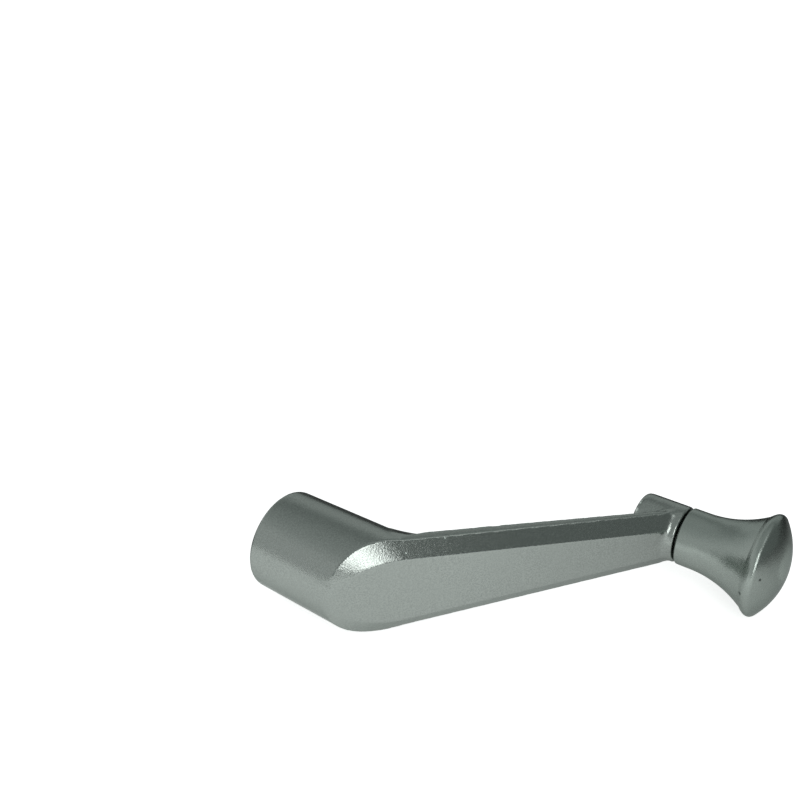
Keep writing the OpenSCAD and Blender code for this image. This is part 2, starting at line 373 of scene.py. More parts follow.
def soften(piece, depth_inside, passes, fade):
    """Smooths a region, fully where it is deeper than the fade and less and less towards its border"""
    leave_edit_mode()
    steps = 4
    for step in range(steps):
        chosen = depth_inside(points_of(piece)) > fade * step / steps
        piece.data.polygons.foreach_set("select", [False] * len(piece.data.polygons))
        piece.data.edges.foreach_set("select", [False] * len(piece.data.edges))
        piece.data.vertices.foreach_set("select", chosen)
        activate(piece)
        bpy.ops.object.mode_set(mode="EDIT")
        bpy.ops.mesh.select_mode(type="VERT")
        bpy.ops.mesh.vertices_smooth(factor=0.5, repeat=passes // steps)
        bpy.ops.object.mode_set(mode="OBJECT")


def finish_piece(piece, name, body, node, sharp=35):
    """Names a finished piece, shades it and ties it to the frame"""
    activate(piece)
    bpy.ops.object.shade_smooth_by_angle(angle=math.radians(sharp))
    piece.name = name
    piece.data.name = name
    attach(piece, body)
    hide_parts(node)


def feed(tree, node, inputs):
    """Gives each named input of a node a value or a link"""
    for name, value in inputs.items():
        if isinstance(value, bpy.types.NodeSocket):
            tree.links.new(value, node.inputs[name])
        else:
            node.inputs[name].default_value = value


def add(tree, kind, inputs=None, **settings):
    """Adds a shader node with its settings and its inputs"""
    node = tree.nodes.new("ShaderNode" + kind)
    for name, value in settings.items():
        setattr(node, name, value)
    feed(tree, node, inputs or {})
    return node


def new_material(name):
    """An empty material with its output and its Principled shader, linked together"""
    material = bpy.data.materials.new(name)
    material.use_nodes = True
    tree = material.node_tree
    tree.nodes.clear()
    shader = add(tree, "BsdfPrincipled")
    add(tree, "OutputMaterial", {"Surface": shader.outputs["BSDF"]})
    return material, tree, shader


def shade(colour_value, factor):
    """A colour made darker or lighter by a factor"""
    return [min(1.0, c * factor) for c in colour_value[:3]] + [1.0]


def lacquered_casting(name, tone, flake, roughness, contrast, wave, marks):
    """Satin aluminium lacquer sprayed on a zinc die casting. The eye sees a soft metal sheen with no mirror
    image in it, a fine sparkle of flakes where the light glances off, and slow waves in the skin. Real
    flakes are too fine to show, so they are drawn as coarse as the photograph's grain."""
    cloud_size = 7 * MM
    wave_size = 3.2 * MM
    flake_height = 0.024 * MM
    # Flakes lie at all angles, so the lacquer brightens less than plain metal where it is seen edge on
    edge_tint = (0.55, 0.57, 0.56, 1)
    dark, light = shade(tone, 1 - contrast), shade(tone, 1 + contrast)
    material, tree, shader = new_material(name)
    place = add(tree, "TexCoord").outputs["Object"]
    flakes = add(tree, "TexNoise", {"Vector": place, "Scale": 1 / flake, "Detail": 2.0, "Roughness": 0.6})
    cells = add(tree, "TexVoronoi", {"Vector": place, "Scale": 0.8 / flake, "Randomness": 1.0})
    cloud = add(
        tree, "TexNoise", {"Vector": place, "Scale": 1 / cloud_size, "Detail": 3.0, "Roughness": 0.55})
    mottle = add(
        tree, "MapRange",
        {"Value": flakes.outputs["Fac"], "From Min": 0.38, "From Max": 0.62, "To Min": 0.0, "To Max": 1.0})
    grain = add(
        tree, "Mix", {"Factor": mottle.outputs["Result"], "A": dark, "B": light}, data_type="RGBA")
    patches = add(
        tree, "Mix", {"Factor": cloud.outputs["Fac"], "A": grain.outputs["Result"], "B": shade(tone, 1.02)},
        data_type="RGBA")
    skin_tone = patches.outputs["Result"]
    ragged = add(
        tree, "VectorMath", {0: flakes.outputs["Color"], 1: (0.5, 0.5, 0.5)},
        operation="SUBTRACT").outputs["Vector"]
    # Each mark mixes a painted spot into the colour: painted glints on the arm, painted shade of pits and a
    # painted reflection patch on the knob
    for centre, size, strength in marks:
        stray = add(
            tree, "VectorMath", {0: ragged, 1: (size, size, size), 2: place}, operation="MULTIPLY_ADD")
        away = add(
            tree, "VectorMath", {0: stray.outputs["Vector"], 1: Vector(centre) * MM}, operation="DISTANCE")
        inside = add(
            tree, "MapRange",
            {"Value": away.outputs["Value"], "From Min": 0.6 * size, "From Max": size,
             "To Min": 1.0, "To Max": 0.0}, interpolation_type="SMOOTHSTEP")
        skin_tone = add(
            tree, "Mix", {"Factor": inside.outputs["Result"], "A": skin_tone, "B": shade(tone, strength)},
            data_type="RGBA").outputs["Result"]
    gloss = add(
        tree, "MapRange",
        {"Value": cells.outputs["Distance"], "From Min": 0.0, "From Max": 1.0,
         "To Min": roughness - 0.05, "To Max": roughness + 0.06})
    waves = add(tree, "TexNoise", {"Vector": place, "Scale": 1 / wave_size, "Detail": 1.0, "Roughness": 0.4})
    skin = add(
        tree, "Bump", {"Height": waves.outputs["Fac"], "Strength": 1.0, "Distance": wave})
    sparkle = add(
        tree, "Bump",
        {"Height": flakes.outputs["Fac"], "Normal": skin.outputs["Normal"], "Strength": 1.0,
         "Distance": flake_height})
    feed(tree, shader, {
        "Base Color": skin_tone, "Roughness": gloss.outputs["Result"], "Normal": sparkle.outputs["Normal"],
        "Metallic": 1.0, "Specular Tint": edge_tint})
    return material


def bare_zinc(tone):
    """Zinc cut by a broach or a drill. Brighter than the lacquer, with fine tool marks round the cut."""
    mark = 0.3 * MM
    depth = 0.02 * MM
    material, tree, shader = new_material("cut_zinc")
    place = add(tree, "TexCoord").outputs["Object"]
    marks = add(tree, "TexNoise", {"Vector": place, "Scale": 1 / mark, "Detail": 3.0})
    shine = add(
        tree, "Mix", {"Factor": marks.outputs["Fac"], "A": shade(tone, 0.8), "B": shade(tone, 1.15)},
        data_type="RGBA")
    rough = add(tree, "Bump", {"Height": marks.outputs["Fac"], "Strength": 0.6, "Distance": depth})
    feed(tree, shader, {
        "Base Color": shine.outputs["Result"], "Roughness": 0.33, "Normal": rough.outputs["Normal"],
        "Metallic": 1.0})
    return material


def steel(name, tone, roughness, mark, depth):
    """Steel with a worked surface: hammered on the pin's end, rolled on the washer, oxidised on the screw.
    The marks break up the reflections, and the tone drifts a little over them."""
    material, tree, shader = new_material(name)
    place = add(tree, "TexCoord").outputs["Object"]
    marks = add(tree, "TexNoise", {"Vector": place, "Scale": 1 / mark, "Detail": 4.0, "Roughness": 0.6})
    drift = add(
        tree, "Mix", {"Factor": marks.outputs["Fac"], "A": shade(tone, 0.75), "B": shade(tone, 1.2)},
        data_type="RGBA")
    bump = add(tree, "Bump", {"Height": marks.outputs["Fac"], "Strength": 0.8, "Distance": depth})
    feed(tree, shader, {
        "Base Color": drift.outputs["Result"], "Roughness": roughness, "Normal": bump.outputs["Normal"],
        "Metallic": 1.0})
    return material


class Casting:
    """The casting's derived places and its cutting planes, in the row frame"""

    def __init__(self, sizes):
        self.s = sizes
        self.reach = -KNOB_AXIS.y
        self.throw = KNOB_AXIS.x
        self.angle = math.atan2(self.throw - sizes.face_run_out, self.reach - sizes.hub_length)
        self.length = self.throw / math.sin(self.angle)
        self.taper = math.atan2((sizes.arm_width - sizes.arm_end_width) / 2, self.length)
        self.slope = math.atan2(sizes.bevel_depth, sizes.bevel_width)
        # The half oval at the end of the face touches the straight edges of the bevel
        edge = (self.half_width(sizes.head_start) - sizes.bevel_width) * math.cos(self.taper)
        lean = sizes.head_length * math.sin(self.taper)
        self.head_half_width = math.sqrt(edge ** 2 - lean ** 2) / math.cos(self.taper)
        # X along the face from the hub's axis, Y into the arm, Z up
        self.face = Matrix.Translation((0, -sizes.hub_length, 0)) @ Matrix.Rotation(
            self.angle - QUARTER, 4, "Z")
        self.into_face = self.face.inverted()
        self.thinning = math.atan2(sizes.arm_thickness - sizes.arm_end_thickness, self.length)
        # The same at the arm's back, which leans in towards the end
        self.back = self.face @ Matrix.Translation((0, sizes.arm_thickness, 0)) @ Matrix.Rotation(
            -self.thinning, 4, "Z")
        # Where the arm's back meets the hub's side, and where the bend between them ends on the back
        self.bend_turn = self.angle - self.thinning
        self.hub_side = self.hub_radius(sizes.hub_length)
        corner = (self.hub_side - self.back.translation.x) / math.sin(self.bend_turn)
        self.bend_tangent = sizes.bend_radius * math.tan(self.bend_turn / 2)
        self.bend_end = corner + self.bend_tangent
        self.bend_corner = self.back.translation.y - corner * math.cos(self.bend_turn)

    def half_width(self, along):
        """Half the arm's width at a distance along the face"""
        return self.s.arm_width / 2 - along * math.tan(self.taper)

    def hub_radius(self, inwards):
        """Radius of the hub at a distance from its mouth"""
        return self.s.hub_diameter / 2 + inwards * math.tan(self.s.hub_draft)

    def plane(self, point, normal, place=None):
        """A plane given in the frame of the face or the back, turned into the row frame"""
        place = place or self.face
        return place @ Vector(point), place.to_3x3() @ Vector(normal)

    def bevel(self, along, up, direction, slope, place=None):
        """A plane through a point of the face that slopes in a direction, measured from the arm's length"""
        outwards = 1 if place else -1
        normal = (math.sin(slope) * math.cos(direction), outwards * math.cos(slope),
                  math.sin(slope) * math.sin(direction))
        return self.plane((along, 0, up), normal, place)

    def front_planes(self):
        """The face and both straight bevels"""
        planes = [self.plane((0, 0, 0), (0, -1, 0))]
        for side in (-1, 1):
            edge = side * (self.half_width(0) - self.s.bevel_width)
            planes.append(self.bevel(0, edge, side * (QUARTER - self.taper), self.slope))
        return planes

    def head_point(self, turn):
        """The point of the half oval whose edge faces an angle, counted from the arm's length backwards"""
        across = self.s.head_length * math.cos(turn)
        up = self.head_half_width * math.sin(turn)
        scale = 1 / math.hypot(across, up)
        return (self.s.head_start - self.s.head_length * across * scale, self.head_half_width * up * scale)

    def head_planes(self):
        """The bevel round the head, which gets shallower as it goes round and fades into the hub"""
        planes = []
        for side in (-1, 1):
            for flat in range(self.s.head_flats):
                share = flat / self.s.head_flats
                turn = self.s.head_stop + (QUARTER + self.taper - self.s.head_stop) * share
                slope = self.s.head_slope + (self.slope - self.s.head_slope) * share
                along, up = self.head_point(turn)
                planes.append(self.bevel(along, side * up, side * (math.pi - turn), slope))
        return planes

    def bar_planes(self):
        """The arm's start and end, its tapered sides, and its back with both bevels"""
        # Under the bend the block is cut back, so that the bend alone makes the surface there
        lean = math.atan2(self.s.arm_thickness / 2, self.bend_end)
        planes = [
            self.plane((self.s.head_start, 0, 0), (-1, 0, 0)),
            self.plane((0, 0, 0), (0, 1, 0), self.back),
            self.plane((self.bend_end, 0, 0), (-math.sin(lean), math.cos(lean), 0), self.back),
            (Vector((0, -self.reach, 0)), Vector((0, -1, 0))),
            (Vector((self.throw, 0, 0)), Vector((1, 0, 0))),
        ]
        for side in (-1, 1):
            planes.append(self.plane(
                (0, 0, side * self.half_width(0)), (math.sin(self.taper), 0, side * math.cos(self.taper))))
            edge = side * (self.half_width(0) - self.s.bevel_width)
            planes.append(self.bevel(0, edge, side * (QUARTER - self.taper), self.slope, self.back))
        return planes

    def hub(self):
        """The hub, turned with its rounded mouth and cut to the face and the bevel round the head"""
        s = self.s
        depth = s.hub_length + 2 * self.hub_radius(s.hub_length) / math.tan(self.angle)
        edge = arc((s.hub_edge, self.hub_radius(0) - s.hub_edge), s.hub_edge, -QUARTER, 0, 8)
        hub = turned("hub", [(0, 0)] + edge + [(depth, self.hub_radius(depth)), (depth, 0)], segments=256)
        lay_inwards(hub, (0, 0, 0))
        cut_by_planes(hub, self.front_planes() + self.head_planes())
        return hub

    def bar(self):
        """The arm, a block cut to its tapered sides and bevels"""
        leave_edit_mode()
        bpy.ops.mesh.primitive_cube_add(size=1)
        bar = bpy.context.object
        room = self.s.arm_thickness
        bar.scale = (self.length + room, self.s.arm_thickness + room, self.s.arm_width + room)
        bar.rotation_euler = (0, 0, self.angle - QUARTER)
        bar.location = self.face @ Vector(((self.length + room) / 2, self.s.arm_thickness / 2, 0))
        fix_place(bar)
        cut_by_planes(bar, self.front_planes() + self.bar_planes())
        return bar

    def bend(self, steps=24, inset=0.03 * MM):
        """The inner bend: a round bar spun round the bend's centre, which takes on the arm's section"""
        s = self.s
        centre = Vector((self.hub_side + s.bend_radius, self.bend_corner + self.bend_tangent, 0))
        radius = self.hub_side - inset
        thick = (s.arm_thickness - self.bend_end * math.tan(self.thinning)) / 2
        wide = self.half_width(self.bend_end) - inset
        leave_edit_mode()
        bpy.ops.mesh.primitive_circle_add(
            vertices=96, radius=radius, fill_type="NGON", rotation=(QUARTER, 0, 0),
            location=centre - Vector((s.bend_radius + inset + radius, 0, 0)))
        bend = bpy.context.object
        fix_place(bend)
        edit(bend)
        bpy.ops.mesh.spin(steps=steps, angle=self.bend_turn, center=centre, axis=(0, 0, -1))
        bpy.ops.mesh.select_all(action="SELECT")
        bpy.ops.mesh.remove_doubles(threshold=WELD)
        bpy.ops.mesh.normals_make_consistent(inside=False)
        leave_edit_mode()
        points = points_of(bend)
        flat = points[:, :2] - np.array(centre[:2])
        turn = np.arctan2(-flat[:, 1], -flat[:, 0])
        share = np.clip(turn / self.bend_turn, 0, 1)
        out = np.hypot(flat[:, 0], flat[:, 1]) - s.bend_radius - inset - radius
        round_way = np.arctan2(points[:, 2], out)
        across, up = np.cos(round_way), np.sin(round_way)
        # Distance from the middle of the arm's section to its flat, its side and its bevel
        slope = np.array((s.bevel_width, s.bevel_depth)) / math.hypot(s.bevel_width, s.bevel_depth)
        bevel = slope @ (thick, wide - s.bevel_width)
        to_flat = thick / np.maximum(np.abs(across), 0.001)
        to_side = wide / np.maximum(np.abs(up), 0.001)
        to_bevel = bevel / (slope[0] * np.abs(across) + slope[1] * np.abs(up))
        section = np.minimum(np.minimum(to_flat, to_side), to_bevel)
        reach = np.hypot(out, points[:, 2]) / radius * (radius * (1 - share) + section * share)
        half = radius * (1 - share) + thick * share
        out = s.bend_radius + inset * (1 - share) + half + reach * across
        points[:, 0] = centre.x - out * np.cos(turn)
        points[:, 1] = centre.y - out * np.sin(turn)
        points[:, 2] = reach * up
        set_points(bend, points)
        cut_by_planes(bend, self.front_planes() + self.head_planes())
        return bend

    def boss(self):
        """The boss, turned with both edges rounded"""
        s = self.s
        radius = s.boss_diameter / 2
        front = arc((s.boss_edge, radius - s.boss_edge), s.boss_edge, -QUARTER, 0, 6)
        back = arc((s.boss_length - s.boss_edge, radius - s.boss_edge), s.boss_edge, 0, QUARTER, 6)
        boss = turned("boss", [(0, 0)] + front + back + [(s.boss_length, 0)])
        lay_inwards(boss, (self.throw, -self.reach + s.boss_length, 0))
        return boss

    def socket(self):
        """What the drill and the broach take out of the hub: a plain bore and the splines behind it"""
        s = self.s
        bore_radius = STUD_BORE["r_mm"] * MM
        bore_length = STUD_BORE["length_mm"] * MM
        mouth = bore_radius + s.bore_lead_in
        bore = turned("bore", [
            (-MM, 0), (-MM, mouth), (0, mouth), (s.bore_lead_in, bore_radius), (bore_length, bore_radius),
            (bore_length, 0)])
        lay_inwards(bore, (0, 0, 0))
        root = bore_radius - s.spline_step
        leave_edit_mode()
        bpy.ops.mesh.primitive_circle_add(vertices=4 * s.spline_count, radius=root, fill_type="NGON")
        teeth = bpy.context.object
        points = points_of(teeth)
        turns = np.arctan2(points[:, 1], points[:, 0]) / (2 * math.pi)
        order = np.round(turns * 4 * s.spline_count).astype(int)
        points[:, :2] *= np.where(order % 4 < 2, 1, (root - s.spline_height) / root)[:, None]
        set_points(teeth, points)
        edit(teeth)
        bpy.ops.mesh.extrude_region_move(
            TRANSFORM_OT_translate={"value": (0, 0, bore_length + s.spline_length - MM)})
        bpy.ops.mesh.select_all(action="SELECT")
        bpy.ops.mesh.normals_make_consistent(inside=False)
        lay_inwards(teeth, (0, -MM, 0))
        return [bore, teeth]

    def screw_hole(self):
        """The set screw's hole, from the bore out through the side"""
        low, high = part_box("set_screw")
        radius = self.s.screw_hole_diameter / 2
        out = self.hub_radius(0) + MM
        hole = turned("screw_hole", [(0, 0), (0, radius), (out, radius), (out, 0)], segments=96)
        hole.rotation_euler = (0, QUARTER, 0)
        hole.location = (0, (low[1] + high[1]) / 2, 0)
        fix_place(hole)
        return hole

    def pin_hole(self):
        """The knob pin's hole through the boss, with the recess behind it"""
        s = self.s
        pin = s.pin_hole_diameter / 2
        recess = s.counterbore_diameter / 2
        floor = s.counterbore_depth
        end = s.boss_length + MM
        hole = turned(
            "pin_hole", [(-MM, 0), (-MM, recess), (floor, recess), (floor, pin), (end, pin), (end, 0)])
        lay_inwards(hole, (self.throw, -self.reach + s.boss_length, 0))
        return hole

    def along_face(self, points):
        """Points in the face's frame"""
        turn = np.array(self.into_face)
        return points @ turn[:3, :3].T + turn[:3, 3]

    def true_up(self, arm):
        """Moves what the remesh left a little off a flat or turned surface onto it, so that flats are flat"""
        s = self.s
        points = points_of(arm)

        def flats(planes):
            at = np.array([point for point, normal in planes])
            normals = np.array([normal for point, normal in planes])
            off = points @ normals.T - (at * normals).sum(axis=1)
            first = off.argmax(axis=1)
            return off[np.arange(len(points)), first], normals[first]

        def side(centre, radius):
            flat = points * (1, 0, 1) - np.array((centre, 0, 0))
            out = np.linalg.norm(flat, axis=1)
            return out - radius, flat / np.maximum(out, MM / 100)[:, None]

        def pick(first, second, wins):
            take = wins(first[0], second[0])
            return np.where(take, first[0], second[0]), np.where(take[:, None], first[1], second[1])

        inwards = -points[:, 1]
        front = self.front_planes()
        hub = pick(side(0, self.hub_radius(inwards)), flats(front + self.head_planes()), np.greater)
        bar = flats(front + self.bar_planes())
        boss = pick(side(self.throw, s.boss_diameter / 2), flats(self.boss_ends()), np.greater)
        off, normal = pick(pick(hub, bar, np.less), boss, np.less)
        near = np.abs(off) < s.grain_size / 2
        near &= inwards > 2 * s.hub_edge
        boss_edge = (np.abs(side(self.throw, s.boss_diameter / 2)[0]) < s.boss_edge) & (
            np.abs(flats(self.boss_ends())[0]) < s.boss_edge)
        near &= ~boss_edge
        points[near] -= off[near, None] * normal[near]
        set_points(arm, points)

    def boss_ends(self):
        """The boss's front and back"""
        back = -self.reach + self.s.boss_length
        return [(Vector((self.throw, -self.reach, 0)), Vector((0, -1, 0))),
                (Vector((self.throw, back, 0)), Vector((0, 1, 0)))]

    def blend_creases(self, arm):
        """Gives the creases between the hub, the arm and the boss the soft blends of a casting"""
        s = self.s
        along, edge = self.head_point(s.head_stop)
        margin = s.crease_blend / 3
        edge += margin
        middle = s.arm_thickness / 2
        inner = self.half_width(0) - s.bevel_width / 2
        # Further out than the hub, and how far the bend's back reaches along the arm and in from the face
        beyond = 20 * MM
        bend_reach = 20 * MM
        deep = 16 * MM
        # Round the head, in the bend's corner, and on the bend's back between the bevels
        boxes = (
            ((-beyond, -MM, -edge), (along + margin, s.crease_blend, edge), 32, 1.2 * MM),
            ((0, middle, -beyond), (deep, deep, beyond), 8, 2 * MM),
            ((0, middle, -inner), (bend_reach, deep, inner), 32, 2 * MM),
        )
        for low, high, passes, fade in boxes:
            soften(arm, lambda points: depth_in_box(self.along_face(points), low, high), passes, fade)

        def round_boss(points):
            out = np.hypot(points[:, 0] - self.throw, points[:, 2])
            ring = s.boss_blend - np.abs(out - s.boss_diameter / 2)
            return np.minimum(ring, points[:, 1] + self.reach - s.boss_edge)

        soften(arm, round_boss, passes=24, fade=s.boss_blend / 2)


class HANDLE_OT_crank_arm(bpy.types.Operator):
    """Models the hub, the arm and the boss as one casting with its socket and holes"""
    bl_idname = "crank_handle.crank_arm"
    bl_label = "Crank Arm"

    def execute(self, context):
        scene = context.scene
        casting = Casting(scene.casting_sizes)
        arm = join([casting.hub(), casting.bar(), casting.bend(), casting.boss()], "crank_arm")
        use_modifier(arm, "REMESH", mode="VOXEL", voxel_size=scene.casting_sizes.grain_size)
        casting.true_up(arm)
        use_modifier(arm, "SMOOTH", factor=0.5, iterations=2)
        casting.blend_creases(arm)
        looks = scene.finishes
        arm.data.materials.append(lacquered_casting(
            "satin_aluminium_lacquer", looks.casting, looks.flake_size, looks.arm_roughness,
            looks.arm_contrast, looks.arm_waves, ARM_PAINTED_GLINTS))
        bare = bare_zinc(looks.bare_zinc)
        for cutter in casting.socket() + [casting.screw_hole(), casting.pin_hole()]:
            cut_out(arm, cutter, bare)
        finish_piece(arm, "cast_crank_arm", "arm", "crank_arm")
        return {"FINISHED"}


class HANDLE_OT_knob(bpy.types.Operator):
    """Turns the flared knob with its domed end and its blind hole for the pin"""
    bl_idname = "crank_handle.knob"
    bl_label = "Knob"

    def execute(self, context):
        s = context.scene.knob_sizes
        low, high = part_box("knob")
        gap = KNOB_AXIS.y - high[1]
        end = KNOB_AXIS.y - low[1]
        rim_radius = (high[2] - low[2]) / 2
        neck = s.neck_diameter / 2
        bore = s.bore_diameter / 2
        flare_turn = math.asin((s.flare_length - s.neck_length) / s.flare_radius)
        rim_at = s.flare_length + s.band_length
        # The CAD rim's widest place is the edge's own circle, which the dome touches from outside
        dome_height = end - rim_at
        dome_radius = (rim_radius ** 2 + dome_height ** 2) / (2 * dome_height)
        dome_centre = end - dome_radius
        edge_radius = rim_radius - s.rim_edge
        edge_turn = math.asin(edge_radius / (dome_radius - s.rim_edge))
        edge_at = dome_centre + (dome_radius - s.rim_edge) * math.cos(edge_turn)
        outline = [(gap + s.bore_depth, 0), (gap + s.bore_depth, bore), (gap, bore)]
        outline += arc((gap + s.neck_edge, neck - s.neck_edge), s.neck_edge, -QUARTER, 0, 5)
        flare_centre = (s.neck_length, neck + s.flare_radius)
        flare = arc(flare_centre, s.flare_radius, math.pi, math.pi - flare_turn, 40)
        outline += flare
        band = edge_at - s.flare_length
        rise = rim_radius - flare[-1][1]
        outline += [
            (s.flare_length + band * share, flare[-1][1] + rise * math.sin(share * QUARTER))
            for share in (0.2, 0.4, 0.6, 0.8)]
        outline += arc((edge_at, edge_radius), s.rim_edge, 0, QUARTER - edge_turn, 20)
        # The dome starts one small step past the edge, so that no point is there twice
        step = 0.02
        outline += arc((dome_centre, 0), dome_radius, QUARTER - edge_turn + step, QUARTER, 48)[:-1]
        outline += [(end, 0)]
        knob = turned("knob", outline, segments=256)
        lay_inwards(knob, (KNOB_AXIS.x, KNOB_AXIS.y, 0))
        looks = context.scene.finishes
        knob.data.materials.append(lacquered_casting(
            "rubbed_aluminium_lacquer", looks.knob, looks.flake_size, looks.knob_roughness,
            looks.knob_contrast, looks.knob_waves, KNOB_PAINTED_SPOTS))
        finish_piece(knob, "flared_knob", "knob", "knob", sharp=6)
        return {"FINISHED"}


class HANDLE_OT_pin_and_washer(bpy.types.Operator):
    """Turns the knob's pin with its peened end, and the washer under it"""
    bl_idname = "crank_handle.pin_and_washer"
    bl_label = "Pin and Washer"

    def execute(self, context):
        s = context.scene.small_part_sizes
        looks = context.scene.finishes
        low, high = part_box("knob_pin")
        radius = s.pin_diameter / 2
        head = (high[2] - low[2]) / 2
        length_of_pin = high[1] - low[1]
        crown = arc((s.peen_height, 0), 1, -QUARTER, 0, 12)
        peen = [(s.peen_height + (a - s.peen_height) * s.peen_height, r * head) for a, r in crown]
        shank = [(s.peen_height, radius), (length_of_pin, radius), (length_of_pin, 0)]
        pin = turned("pin", peen + shank, segments=96)
        lay_inwards(pin, (KNOB_AXIS.x, high[1], 0))
        bright = steel("hammered_steel", looks.steel, roughness=0.3, mark=0.9 * MM, depth=0.1 * MM)
        pin.data.materials.append(bright)
        finish_piece(pin, "peened_pin", "knob", "knob_pin")
        low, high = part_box("pin_washer")
        outer = (high[2] - low[2]) / 2
        inner = s.washer_hole / 2
        thick = high[1] - low[1]
        edge = s.washer_edge
        outline = arc((edge, outer - edge), edge, -QUARTER, 0, 4)
        outline += arc((thick - edge, outer - edge), edge, 0, QUARTER, 4)
        outline += [(thick, inner), (0, inner), outline[0]]
        washer = turned("washer", outline, segments=96)
        lay_inwards(washer, (KNOB_AXIS.x, high[1], 0))
        plate = steel("zinc_plated_steel", looks.zinc_plate, roughness=0.32, mark=0.5 * MM, depth=0.02 * MM)
        washer.data.materials.append(plate)
        finish_piece(washer, "plated_washer", "knob", "pin_washer")
        return {"FINISHED"}


class HANDLE_OT_set_screw(bpy.types.Operator):
    """Turns the set screw, gives it its thread and cuts its hexagon socket"""
    bl_idname = "crank_handle.set_screw"
    bl_label = "Set Screw"

    def execute(self, context):
        s = context.scene.small_part_sizes
        looks = context.scene.finishes
        low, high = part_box("set_screw")
        radius = (high[2] - low[2]) / 2
        span = high[0] - low[0]
        cup = s.cup_diameter / 2
        rings = 60
        side = [(s.cup_height + (span - s.cup_height) * i / rings, radius) for i in range(rings + 1)]
        screw = turned("screw", [(s.cup_height, 0), (0, cup)] + side + [(span, 0)], segments=64)
        points = points_of(screw)
        out = np.hypot(points[:, 0], points[:, 1])
        turn = np.arctan2(points[:, 1], points[:, 0]) / (2 * math.pi)
        ridge = np.abs((points[:, 2] / s.thread_pitch - turn) % 1 - 0.5) * 2
        groove = np.where(out > radius - s.thread_depth, s.thread_depth * ridge, 0)
        points[:, :2] *= ((out - groove) / np.maximum(out, MM / 100))[:, None]
        set_points(screw, points)
        black = steel("black_oxide_steel", looks.black_oxide, roughness=0.42, mark=0.6 * MM, depth=0.02 * MM)
        screw.data.materials.append(black)
        leave_edit_mode()
        bpy.ops.mesh.primitive_cylinder_add(
            vertices=6, radius=s.socket_width / math.sqrt(3), depth=2 * s.socket_depth,
            location=(0, 0, span))
        cut_out(screw, bpy.context.object, black)
        screw.rotation_euler = (0, QUARTER, 0)
        screw.location = (low[0], (low[1] + high[1]) / 2, 0)
        fix_place(screw)
        finish_piece(screw, "socket_set_screw", "set_screw", "set_screw")
        return {"FINISHED"}


def white_to_the_eye(tree):
    """1 for what the camera sees straight or through glass, and 1 for what a glossy surface mirrors"""
    path = add(tree, "LightPath")
    seen = add(
        tree, "Math", {0: path.outputs["Is Camera Ray"], 1: path.outputs["Is Transmission Ray"]},
        operation="MAXIMUM")
    return seen.outputs["Value"], path.outputs["Is Glossy Ray"]


def table_material(studio):
    """Matt white table top: white to the camera, with the handle's shadow on it. What metal mirrors of it is
    a painted reflection: there the table glows, bright beside the hub on the side of the lamp, and fades to
    painted shade past the knob and behind the handle."""
    past_the_knob = (0.97, -0.24, 0)
    behind = (0.71, 0.71, 0)
    material, tree, shader = new_material("matt_white_table")
    seen, glossy = white_to_the_eye(tree)
    place = add(tree, "TexCoord").outputs["Object"]
    # A direction, where the table starts to fade along it and where it has faded, and the share that is left
    falls = ((past_the_knob, 15 * MM, 150 * MM, studio.table_right),
             (behind, -5 * MM, 30 * MM, studio.table_behind))
    share = glossy
    for direction, start, end, last in falls:
        across = add(tree, "VectorMath", {0: place, 1: direction}, operation="DOT_PRODUCT").outputs["Value"]
        left = add(
            tree, "MapRange",
            {"Value": across, "From Min": start, "From Max": end, "To Min": 1.0, "To Max": last})
        left = left.outputs["Result"]
        share = add(tree, "Math", {0: share, 1: left}, operation="MULTIPLY").outputs["Value"]
    mirrored = add(
        tree, "Math", {0: share, 1: studio.table_mirrored}, operation="MULTIPLY").outputs["Value"]
    strength = add(
        tree, "Math", {0: seen, 1: studio.table_lift, 2: mirrored}, operation="MULTIPLY_ADD").outputs["Value"]
    plain = add(tree, "Math", {0: 1.0, 1: glossy}, operation="SUBTRACT").outputs["Value"]
    whole = add(tree, "Math", {0: plain, 1: share}, operation="ADD").outputs["Value"]
    tone = add(
        tree, "VectorMath", {"Vector": studio.table[:3], "Scale": whole}, operation="SCALE").outputs["Vector"]
    feed(tree, shader, {
        "Base Color": tone, "Roughness": 1.0, "Specular IOR Level": 0.0, "Emission Color": (1, 1, 1, 1),
        "Emission Strength": strength})
    return material


